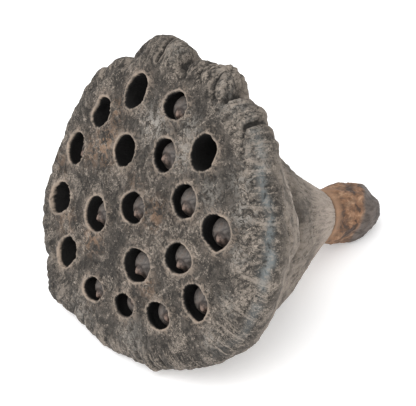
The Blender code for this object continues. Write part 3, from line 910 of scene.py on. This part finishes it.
def makePodSkin():
    f = Finish("driedPodSkin")
    grain, wrap = f.direction("grain"), f.direction("wrap")
    side, rim, furrowShade, nickShadeAndHighlight = (f.attribute(name) for name in ("side", "rim", "furrowShade", "nickShadeAndHighlight"))
    mottle = f.noise(grain, 330, 6, 0.78, 0.6)
    fibre = f.noise(wrap, 420, 6, 0.76, 0.4)
    cloud = f.noise(grain, 80, 5, 0.66, 0.5)
    speck = f.noise(grain, 1500, 3, 0.68)
    tooth = f.noise(grain, 2600, 2, 0.7)
    gritty = f.sum("ADD", mottle, f.times(f.sum("SUBTRACT", tooth, 0.5), 0.35))
    face = f.ramp(gritty, (0.38, podSkin["dark"]), (0.50, podSkin["middle"]), (0.62, podSkin["light"]))
    strand = f.sum("ADD", fibre, f.times(f.sum("SUBTRACT", tooth, 0.5), 0.35))
    flank = f.ramp(strand, (0.36, podSkin["sideDark"]), (0.48, podSkin["side"]), (0.66, podSkin["fleck"]))
    colour = f.blend(side, face, flank)
    colour = f.blend(f.share(cloud, 0.52, 0.40, 0, 0.55), colour, podSkin["dark"])
    # thin torn threads and dust, thick on some patches
    threads = f.threads(f.noise(grain, 400, 4, 0.68, 1.8), 0.022)
    threadsFine = f.threads(f.noise(grain, 950, 3, 0.62, 1.4), 0.04)
    worn = f.share(f.noise(grain, 150, 5, 0.72, 0.7), 0.50, 0.60)
    dust = f.share(f.noise(grain, 1400, 4, 0.78, 0.5), 0.53, 0.58)
    colour = f.blend(f.times(threads, f.share(worn, 0, 1, 0.06, 0.5)), colour, podSkin["fleck"])
    colour = f.blend(f.times(threadsFine, f.share(worn, 0, 1, 0.05, 0.5)), colour, podSkin["fleck"])
    colour = f.blend(f.times(f.share(worn, 0, 1, 0.04, 0.85), dust), colour, podSkin["fleck"])
    colour = f.blend(f.share(speck, 0.64, 0.68, 0, 0.85), colour, podSkin["fleck"])
    torn = f.share(f.noise(grain, 640, 5, 0.8, 0.8), 0.46, 0.56)
    colour = f.blend(f.times(f.attribute("pale"), torn), colour, podSkin["pale"])
    spotted = f.share(f.noise(grain, 560, 4, 0.74, 0.6), 0.46, 0.58)
    colour = f.blend(f.times(f.attribute("warm"), spotted), colour, podSkin["warm"])
    colour = f.blend(f.times(rim, f.share(strand, 0.50, 0.62, 0.0, 0.75)), colour, podSkin["fleck"])
    # ridge and collar have a colour of their own; recess is painted shade behind the shoulder and crest a
    # painted highlight on it; each is thinned by a pattern
    for mark, pattern, stretch, tint in (
        ("ridge", fibre, (0.35, 0.60, 0.90, 0.60), "ridge"),
        ("recess", cloud, (0.40, 0.56, 0.90, 0.45), "sideDark"),
        ("crest", strand, (0.36, 0.54, 0.35, 0.95), "crest"),
        ("collar", strand, (0.40, 0.56, 0.50, 0.85), "collar"),
    ):
        amount = f.times(f.attribute(mark), f.share(pattern, *stretch))
        colour = f.blend(amount, colour, podSkin[tint])
    halo = f.share(f.noise(grain, 700, 4, 0.76, 0.8), 0.46, 0.58, 0.0, 0.55)
    colour = f.blend(f.times(f.attribute("halo"), halo), colour, podSkin["lip"])
    # painted shade in broad and fine hollows, painted highlight on fine crests
    colour = f.blend(f.share(furrowShade, 0.08, 0.75, 0, 0.85), colour, podSkin["dark"])
    colour = f.blend(f.share(nickShadeAndHighlight, 0.1, 0.9, 0, 0.55), colour, podSkin["dark"])
    colour = f.blend(f.share(nickShadeAndHighlight, -0.15, -0.9, 0, 0.45), colour, podSkin["fleck"])
    frayed = f.share(f.noise(grain, 520, 3, 0.65), 0.38, 0.56, 0.25, 1)
    colour = f.blend(f.times(f.attribute("lip"), frayed), colour, podSkin["lip"])
    # painted shade inside the chambers
    colour = f.blend(f.attribute("pitShade"), colour, podSkin["pitShade"])
    f.link(colour, f.shader.inputs["Base Color"])
    rough = f.sum("SUBTRACT", f.share(mottle, 0.3, 0.7, 0.92, 0.74), f.times(f.attribute("ridge"), 0.22))
    f.link(rough, f.shader.inputs["Roughness"])
    f.shader.inputs["Specular IOR Level"].default_value = 0.3
    f.bumps((mottle, 0.8, 0.0007), (fibre, 0.6, 0.0005), (threads, 0.4, 0.0003), (speck, 0.5, 0.00025))
    return f.material


seedShell = {
    "dark": (0.026, 0.021, 0.018),
    "dust": (0.105, 0.092, 0.083),
    "brown": (0.085, 0.060, 0.047),
    "fleck": (0.20, 0.17, 0.15),
    "tip": (0.185, 0.125, 0.098),
    "tipDark": (0.060, 0.038, 0.030),
    # painted shade colour for the furrow round the tip
    "furrowShade": (0.016, 0.011, 0.009),
}


def makeSeedShell():
    f = Finish("driedSeedShell")
    grain = f.direction("grain")
    mottle = f.noise(grain, 520, 5, 0.7)
    speck = f.noise(grain, 1700, 3, 0.65)
    colour = f.ramp(mottle, (0.36, seedShell["dark"]), (0.52, seedShell["dust"]), (0.68, seedShell["brown"]))
    colour = f.blend(f.share(speck, 0.58, 0.68, 0, 0.6), colour, seedShell["fleck"])
    wrinkled = f.ramp(f.noise(grain, 1100, 3, 0.7), (0.40, seedShell["tipDark"]), (0.58, seedShell["tip"]))
    colour = f.blend(f.attribute("tip"), colour, wrinkled)
    # painted shade in the furrow round the tip and in its crater
    colour = f.blend(f.times(f.attribute("tipShade"), 0.8), colour, seedShell["furrowShade"])
    f.link(colour, f.shader.inputs["Base Color"])
    f.link(f.share(mottle, 0.3, 0.7, 0.5, 0.75), f.shader.inputs["Roughness"])
    f.shader.inputs["Specular IOR Level"].default_value = 0.4
    f.bumps((mottle, 0.5, 0.0004), (speck, 0.5, 0.0002))
    return f.material


stemBark = {
    "dark": (0.050, 0.027, 0.016),
    "tan": (0.220, 0.112, 0.058),
    "light": (0.42, 0.265, 0.165),
    "start": (0.34, 0.205, 0.125),
    "charDark": (0.034, 0.026, 0.022),
    "charGrey": (0.150, 0.122, 0.106),
    # painted shadow line where the stem leaves the neck
    "gap": (0.045, 0.030, 0.022),
}


def makeStemBark():
    f = Finish("driedStemBark")
    grain, wrap = f.direction("grain"), f.direction("wrap")
    patch = f.noise(grain, 190, 6, 0.7, 0.6)
    fibre = f.noise(wrap, 420, 5, 0.7, 0.3)
    speck = f.noise(grain, 1100, 3, 0.6)
    colour = f.ramp(patch, (0.38, stemBark["dark"]), (0.49, stemBark["tan"]), (0.64, stemBark["light"]))
    colour = f.blend(f.share(fibre, 0.55, 0.36, 0, 0.6), colour, stemBark["dark"])
    colour = f.blend(f.times(f.attribute("start"), 0.7), colour, stemBark["start"])
    # painted shadow line where the stem leaves the neck
    colour = f.blend(f.times(f.attribute("gap"), 0.85), colour, stemBark["gap"])
    burnt = f.ramp(fibre, (0.32, stemBark["charDark"]), (0.66, stemBark["charGrey"]))
    colour = f.blend(f.attribute("char"), colour, burnt)
    # painted shade in the stem's furrows
    colour = f.blend(f.share(f.attribute("furrowShade"), 0.05, 0.8, 0, 0.7), colour, stemBark["dark"])
    f.link(colour, f.shader.inputs["Base Color"])
    f.link(f.share(patch, 0.3, 0.7, 0.6, 0.85), f.shader.inputs["Roughness"])
    f.shader.inputs["Specular IOR Level"].default_value = 0.4
    f.bumps((patch, 0.5, 0.0005), (fibre, 0.6, 0.0004), (speck, 0.4, 0.00015))
    return f.material


def dress(piece, material):
    piece.data.materials.clear()
    piece.data.materials.append(material)


dress(podBody, makePodSkin())
dress(podStem, makeStemBark())
shellFinish = makeSeedShell()
for piece in seeds:
    dress(piece, shellFinish)
print("finishes made")

studio = {
    "floorSize": 6.0,
    "floorColour": (0.93, 0.93, 0.935),
    "floorGlow": 0.27,
    "worldStrength": 0.92,
    "keyPlace": (0.50, -0.95, 1.10),
    "keySize": 0.9,
    "keyPower": 14.0,
    "fillPlace": (0.7, -0.5, 0.9),
    "fillSize": 1.2,
    "fillPower": 1.0,
    "target": (-5.549, -10.974, 30.311),  # mm
    "azimuth": 53.143,
    "elevation": 32.235,
    "roll": -2.912,
    "distance": 430.0,  # mm
    "lens": 136.807,
}


def makeFloor():
    deselectAll()
    bpy.ops.mesh.primitive_plane_add(size=studio["floorSize"], location=(0, 0, 0))
    floor = bpy.context.object
    floor.name = "studioFloor"
    f = Finish("paleFloor")
    f.shader.inputs["Base Color"].default_value = (*studio["floorColour"], 1)
    f.shader.inputs["Roughness"].default_value = 1.0
    f.shader.inputs["Specular IOR Level"].default_value = 0.0
    f.shader.inputs["Emission Color"].default_value = (1, 1, 1, 1)
    f.shader.inputs["Emission Strength"].default_value = studio["floorGlow"]
    dress(floor, f.material)


def makeSoftLight(name, place, size, power):
    light = bpy.data.lights.new(name, "AREA")
    light.shape = "DISK"
    light.size = size
    light.energy = power
    lamp = bpy.data.objects.new(name, light)
    bpy.context.scene.collection.objects.link(lamp)
    lamp.location = place
    lamp.rotation_euler = (Vector((0, 0, 0.03)) - Vector(place)).to_track_quat("-Z", "Y").to_euler()


def makeStudio():
    world = bpy.data.worlds.new("studio")
    bpy.context.scene.world = world
    world.use_nodes = True
    world.node_tree.nodes["Background"].inputs["Color"].default_value = (1, 1, 1, 1)
    world.node_tree.nodes["Background"].inputs["Strength"].default_value = studio["worldStrength"]
    makeSoftLight("keyLight", studio["keyPlace"], studio["keySize"], studio["keyPower"])
    makeSoftLight("fillLight", studio["fillPlace"], studio["fillSize"], studio["fillPower"])
    bpy.context.scene.view_settings.view_transform = "Standard"
    bpy.context.scene.view_settings.look = "None"


def makeCamera():
    azimuth, elevation = math.radians(studio["azimuth"]), math.radians(studio["elevation"])
    level = math.cos(elevation)
    back = Vector((math.sin(azimuth) * level, -math.cos(azimuth) * level, math.sin(elevation)))
    right = Vector((math.cos(azimuth), math.sin(azimuth), 0))
    up = back.cross(right)
    roll = math.radians(studio["roll"])
    tiltedRight = right * math.cos(roll) + up * math.sin(roll)
    tiltedUp = back.cross(tiltedRight)
    place = (Vector(studio["target"]) + back * studio["distance"]) * mm
    camera = bpy.data.cameras.new("camera")
    camera.lens = studio["lens"]
    camera.sensor_width = 36
    camera.clip_start = 0.01
    camera.clip_end = 50
    holder = bpy.data.objects.new("camera", camera)
    bpy.context.scene.collection.objects.link(holder)
    turn = Matrix((tiltedRight, tiltedUp, back)).transposed().to_4x4()
    holder.matrix_world = Matrix.Translation(place) @ turn
    bpy.context.scene.camera = holder


makeFloor()
makeStudio()
makeCamera()
print("studio ready")

bpy.context.view_layer.update()
